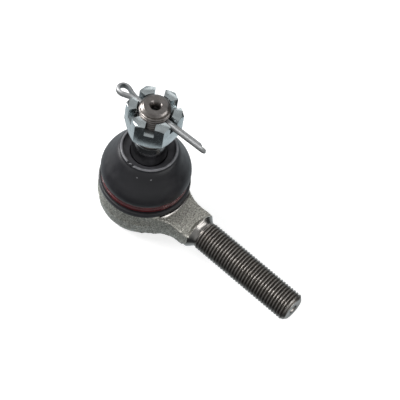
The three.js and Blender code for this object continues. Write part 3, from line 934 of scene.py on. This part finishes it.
def build_disc_spring():
    """Coned ring, resting on the cover at its outer edge."""
    outer, low, high = ring_of("preload_disc_spring")
    inner, thick, edge = 8.3, 1.1, 0.25
    corners = [(outer, low, edge), (outer, low + thick, edge),
               (inner, high, edge), (inner, high - thick, edge)]
    profile = rounded(corners, closed=True)
    spring = turned("preload_disc_spring_fine", profile, ends="loop")
    coat(spring, (SPRING, ))
    place(spring, "housing", "preload_disc_spring")


def build_cover():
    """Dished sheet, with a flat centre that is the lowest face of the part."""
    outer, low, _ = ring_of("cover_plate")
    rim, thick = -14.4, 1.4
    profile = rounded([
        (0, low, 0), (8.6, low, 1.2), (11.6, rim, 0.8), (outer, rim, 0.15), (outer, rim + thick, 0.3),
        (10.2, rim + thick, 1.2), (7.9, low + thick, 0.8), (0, low + thick, 0)])
    cover = turned("cover_plate_fine", profile)
    coat(cover, (PRESSED, ))
    place(cover, "housing", "cover_plate")


# ---------------------------------------------------------------------------
# Camera, light and floor
# ---------------------------------------------------------------------------

TOWARDS_CAMERA = (0.2874, -0.4531, 0.8439)
CAMERA_RIGHT = (0.7366, 0.6677, 0.1076)
CAMERA_AT = (0.2547, -0.3524, 0.6790)        # metres, with its height from the shank's axis
CAMERA_LENS = 160.5

# Colour of the tent by the cosine of the angle to the camera's direction
TENT = (
    (-1.0, (0.63, 0.69, 0.72)),
    (-0.56, (0.55, 0.6, 0.62)),
    (-0.46, (0.04, 0.044, 0.046)),
    (0.0, (0.04, 0.043, 0.045)),
    (0.28, (0.39, 0.4, 0.4)),
    (0.55, (0.55, 0.56, 0.56)),
    (1.0, (0.42, 0.42, 0.42)),
)


def build_camera():
    """A long lens, turned a little about its own axis."""
    camera = bpy.data.cameras.new("camera")
    camera.lens = CAMERA_LENS
    camera.sensor_width = 36.0
    camera.clip_end = 20
    obj = bpy.data.objects.new("camera", camera)
    back = Vector(TOWARDS_CAMERA).normalized()
    up = back.cross(Vector(CAMERA_RIGHT).normalized()).normalized()
    right = up.cross(back)
    at = Vector(CAMERA_AT) + Vector((0, 0, AXIS_Z * MM))
    turn = Matrix((right, up, back)).transposed().to_4x4()
    obj.matrix_world = Matrix.Translation(at) @ turn
    bpy.context.scene.collection.objects.link(obj)
    bpy.context.scene.camera = obj


def area_light(name, at, size, power):
    """A soft box of so many watts at a place in metres, facing the origin."""
    light = bpy.data.lights.new(name, "AREA")
    light.shape = "RECTANGLE"
    light.size, light.size_y = size
    light.energy = power
    obj = bpy.data.objects.new(name, light)
    obj.location = at
    obj.rotation_euler = (-Vector(at)).to_track_quat("-Z", "Y").to_euler()
    obj.visible_camera = False
    bpy.context.scene.collection.objects.link(obj)


def build_world():
    """A lighting tent round the object, which the camera itself sees as white.

    It is bright behind the object as the camera sees it, dim at the sides and grey in front.
    """
    world = bpy.data.worlds.new("studio")
    world.use_nodes = True
    nodes, links = world.node_tree.nodes, world.node_tree.links
    seen, lit = nodes.new("ShaderNodeBackground"), nodes["Background"]
    seen.inputs["Color"].default_value = (1, 1, 1, 1)
    direction, dot = nodes.new("ShaderNodeTexCoord"), nodes.new("ShaderNodeVectorMath")
    dot.operation = "DOT_PRODUCT"
    dot.inputs[1].default_value = TOWARDS_CAMERA
    spread, ramp = nodes.new("ShaderNodeMapRange"), nodes.new("ShaderNodeValToRGB")
    spread.inputs["From Min"].default_value = -1
    links.new(direction.outputs["Generated"], dot.inputs[0])
    links.new(dot.outputs["Value"], spread.inputs["Value"])
    links.new(spread.outputs["Result"], ramp.inputs["Fac"])
    elements = ramp.color_ramp.elements
    while len(elements) < len(TENT):
        elements.new(0.5)
    for element, (cosine, color) in zip(elements, TENT):
        element.position = (cosine + 1) / 2
        element.color = (*color, 1)
    links.new(ramp.outputs["Color"], lit.inputs["Color"])
    path, mix = nodes.new("ShaderNodeLightPath"), nodes.new("ShaderNodeMixShader")
    links.new(path.outputs["Is Camera Ray"], mix.inputs[0])
    links.new(lit.outputs[0], mix.inputs[1])
    links.new(seen.outputs[0], mix.inputs[2])
    links.new(mix.outputs[0], nodes["World Output"].inputs["Surface"])
    bpy.context.scene.world = world
    bpy.context.scene.view_settings.view_transform = "Standard"


def build_light():
    """Soft boxes over the camera's left, at the left, beyond the shank and behind the eye."""
    area_light("key", (-0.72, -0.5, 1.1), (0.55, 0.4), 7.5)
    area_light("side", (-1.0, -0.3, 0.25), (0.5, 0.3), 8)
    area_light("back", (1.25, 0.45, 0.55), (1.3, 0.22), 4.5)
    area_light("far", (-0.45, 1.2, 0.75), (1.2, 0.9), 3.8)
    build_world()


def build_floor():
    """A wide white disc just below the part. It takes shadows, and no reflection or bounce sees it."""
    radius, facets, drop = 4.0, 64, 0.0003
    angles = np.arange(facets) * 2 * np.pi / facets
    ring = [(radius * math.cos(a), radius * math.sin(a), -drop) for a in angles]
    floor = mesh_object("floor", ring, [tuple(range(facets))])
    material = bpy.data.materials.new("floor")
    material.use_nodes = True
    shader = material.node_tree.nodes["Principled BSDF"]
    shader.inputs["Base Color"].default_value = (0.6, 0.6, 0.6, 1)
    shader.inputs["Roughness"].default_value = 0.9
    shader.inputs["Emission Color"].default_value = (1, 1, 1, 1)
    shader.inputs["Emission Strength"].default_value = 0.7
    floor.data.materials.append(material)
    floor.visible_glossy = False
    floor.visible_diffuse = False


build_camera()
build_light()
build_floor()
build_housing()
build_stud()
build_nut()
build_pin()
build_boot()
build_clamp_ring()
build_neck_ring()
build_seat("upper_ball_seat", 0.15, 5.2)
build_seat("lower_ball_seat", -9.2, -0.15)
build_pressure_plate()
build_disc_spring()
build_cover()
